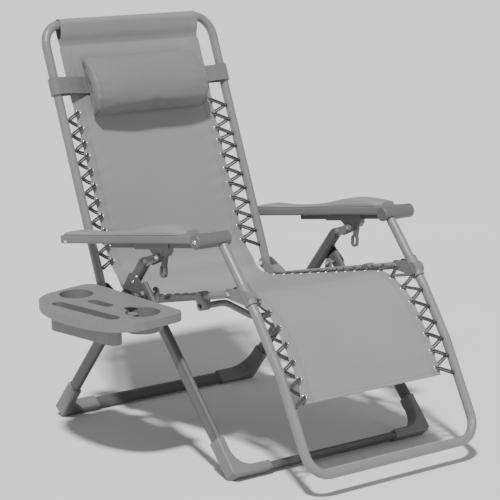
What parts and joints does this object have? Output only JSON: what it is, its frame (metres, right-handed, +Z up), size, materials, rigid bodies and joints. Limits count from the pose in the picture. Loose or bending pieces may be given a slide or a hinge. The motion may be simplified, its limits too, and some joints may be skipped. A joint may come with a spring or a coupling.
{
  "type": "zero gravity recliner",
  "caption": "Folding outdoor recliner: tube frame, laced mesh sling, arms with sliding locks, head pillow and clip-on side tray.",
  "frame": {"origin": "on the floor, under the middle of the overall box (the tray on one side puts this 111 mm to the left of the chair's centre plane)", "axes": "+Z up, the sitter faces -Y, +X is towards the chair's right arm (away from the tray)"},
  "size_m": [0.9844, 1.1551, 1.0661],
  "materials": {
    "frame_paint": "satin",
    "moulded_plastic": "fine grain",
    "roll_plastic": "fine grain",
    "bright_steel": "polished",
    "sling_mesh": "fine woven mesh",
    "pillow_fabric": "fine woven mesh",
    "strap_webbing": "ribbed elastic",
    "elastic_cord": "braided"
  },
  "bodies": {
    "rear_leg": {"rear_leg_frame": "frame_paint", "rear_shoe_left": "moulded_plastic", "rear_shoe_right": "moulded_plastic", "hub_plate_left": "frame_paint", "hub_plate_right": "frame_paint", "arm_bracket_left": "frame_paint", "arm_bracket_right": "frame_paint", "hub_pin_left": "bright_steel", "hub_pin_right": "bright_steel", "lock_pin_left": "bright_steel", "lock_pin_right": "bright_steel"},
    "front_leg": {"front_leg_frame": "frame_paint", "front_shoe_left": "moulded_plastic", "front_shoe_right": "moulded_plastic"},
    "seat": {"seat_rail_left": "frame_paint", "seat_rail_right": "frame_paint", "cross_clamp_left": "moulded_plastic", "cross_clamp_right": "moulded_plastic", "seat_hanger_left": "frame_paint", "seat_hanger_right": "frame_paint", "hip_bracket_left": "frame_paint", "hip_bracket_right": "frame_paint", "seat_lace_left": "elastic_cord", "seat_lace_right": "elastic_cord", "hip_pin_left": "bright_steel", "hip_pin_right": "bright_steel", "knee_pin_left": "bright_steel", "knee_pin_right": "bright_steel", "seat_cross_bar": "frame_paint", "sling_seat": "sling_mesh"},
    "back": {"back_frame": "frame_paint", "sling_back": "sling_mesh", "back_lace_left": "elastic_cord", "back_lace_right": "elastic_cord", "arm_pin_left": "bright_steel", "arm_pin_right": "bright_steel"},
    "leg_rest": {"leg_rest_frame": "frame_paint", "sling_leg": "sling_mesh", "knee_collar_left": "moulded_plastic", "knee_collar_right": "moulded_plastic", "leg_lace_left": "elastic_cord", "leg_lace_right": "elastic_cord"},
    "armrests": {"armrest_left": "moulded_plastic", "armrest_right": "moulded_plastic", "arm_pad_left": "moulded_plastic", "arm_pad_right": "moulded_plastic", "arm_roll_left": "roll_plastic", "arm_roll_right": "roll_plastic", "arm_track_left": "frame_paint", "arm_track_right": "frame_paint"},
    "locks": {"lock_housing_left": "moulded_plastic", "lock_housing_right": "moulded_plastic"},
    "lever_left": {"lock_lever_left": "moulded_plastic"},
    "lever_right": {"lock_lever_right": "moulded_plastic"},
    "head_pillow": {"pillow": "pillow_fabric", "pillow_strap": "strap_webbing"},
    "side_tray": {"tray": "moulded_plastic", "leg_clip_rear": "sling_mesh", "leg_clip_front": "sling_mesh"}
  },
  "joints": [
    {"name": "front_leg_fold", "type": "hinge", "parent": "rear_leg", "child": "front_leg", "pos_m": [0.1113, 0.03579, 0.41712], "axis": [1, 0, 0], "range_deg": [0, 79]},
    {"name": "recline", "type": "hinge", "parent": "rear_leg", "child": "seat", "pos_m": [0.1113, 0.03579, 0.41712], "axis": [1, 0, 0], "range_deg": [-17.6, 0]},
    {"name": "back_recline", "type": "hinge", "parent": "seat", "child": "back", "pos_m": [0.1113, 0.2798, 0.375], "axis": [1, 0, 0], "range_deg": [-25.24, 0]},
    {"name": "leg_recline", "type": "hinge", "parent": "seat", "child": "leg_rest", "pos_m": [0.1113, -0.2532, 0.467], "axis": [1, 0, 0], "range_deg": [-25.24, 0]},
    {"name": "arm_recline", "type": "hinge", "parent": "back", "child": "armrests", "pos_m": [0.1113, 0.33383, 0.50416], "axis": [1, 0, 0], "range_deg": [0, 25.24]},
    {"name": "lock_recline", "type": "hinge", "parent": "rear_leg", "child": "locks", "pos_m": [0.1113, -0.0182, 0.522], "axis": [1, 0, 0], "range_deg": [-17.78, 0]},
    {"name": "lever_left_turn", "type": "hinge", "parent": "locks", "child": "lever_left", "pos_m": [0.1113, -0.0397, 0.5385], "axis": [1, 0, 0], "range_deg": [-28, 0]},
    {"name": "lever_right_turn", "type": "hinge", "parent": "locks", "child": "lever_right", "pos_m": [0.1113, -0.0397, 0.5385], "axis": [1, 0, 0], "range_deg": [-28, 0]},
    {"name": "pillow_slide", "type": "slide", "parent": "back", "child": "head_pillow", "axis": [0, 0.3859, 0.9225], "range_m": [-0.2, 0.015]},
    {"name": "tray_slide", "type": "slide", "parent": "rear_leg", "child": "side_tray", "axis": [-1, 0, 0], "range_m": [0, 0.15]}
  ],
  "couplings": [
    {"joint": "back_recline", "follows": "recline", "ratio": 1.42},
    {"joint": "leg_recline", "follows": "recline", "ratio": 1.42},
    {"joint": "arm_recline", "follows": "recline", "ratio": -1.42},
    {"joint": "lock_recline", "follows": "recline", "ratio": 1}
  ]
}
